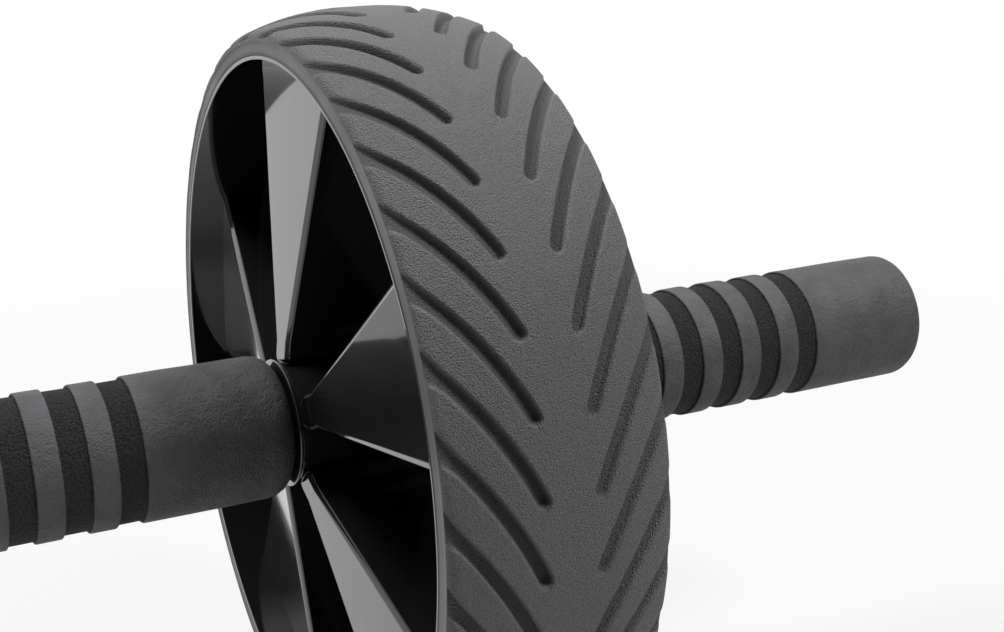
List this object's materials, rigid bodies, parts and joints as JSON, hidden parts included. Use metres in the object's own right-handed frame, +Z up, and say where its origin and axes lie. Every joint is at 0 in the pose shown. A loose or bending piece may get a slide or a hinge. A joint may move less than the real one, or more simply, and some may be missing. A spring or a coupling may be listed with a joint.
{
  "type": "ab wheel roller",
  "caption": "Wide single wheel with a grooved rubber tyre that spins freely on a steel axle between two foam-covered handles, for rollout exercise.",
  "frame": {"origin": "centre of the wheel, on the axle", "axes": "+Y along the axle, +Z up, +X the way it rolls"},
  "size_m": [0.19, 0.304, 0.19],
  "materials": {
    "tyre_rubber": "matt, fine leathery grain",
    "wheel_black": "gloss black moulding",
    "grip_foam": "closed-cell foam with a smooth skin and rough sunken bands",
    "core_plastic": "satin black moulding",
    "bush_nylon": "natural nylon",
    "axle_steel": "turned bright steel",
    "zinc_steel": "zinc plated"
  },
  "bodies": {
    "handle_bar": {"axle_rod": "axle_steel", "thrust_washer_left": "wheel_black", "handle_core_left": "core_plastic", "grip_left": "grip_foam", "flat_washer_left": "zinc_steel", "lock_washer_left": "zinc_steel", "end_screw_left": "zinc_steel", "end_plug_left": "core_plastic", "thrust_washer_right": "wheel_black", "handle_core_right": "core_plastic", "grip_right": "grip_foam", "flat_washer_right": "zinc_steel", "lock_washer_right": "zinc_steel", "end_screw_right": "zinc_steel", "end_plug_right": "core_plastic"},
    "wheel": {"tyre": "tyre_rubber", "wheel_shell_left": "wheel_black", "hub_bush_left": "bush_nylon", "wheel_shell_right": "wheel_black", "hub_bush_right": "bush_nylon"}
  },
  "joints": [
    {"name": "wheel_spin", "type": "hinge", "parent": "handle_bar", "child": "wheel", "pos_m": [0, 0, 0], "axis": [0, 1, 0], "continuous": true}
  ]
}
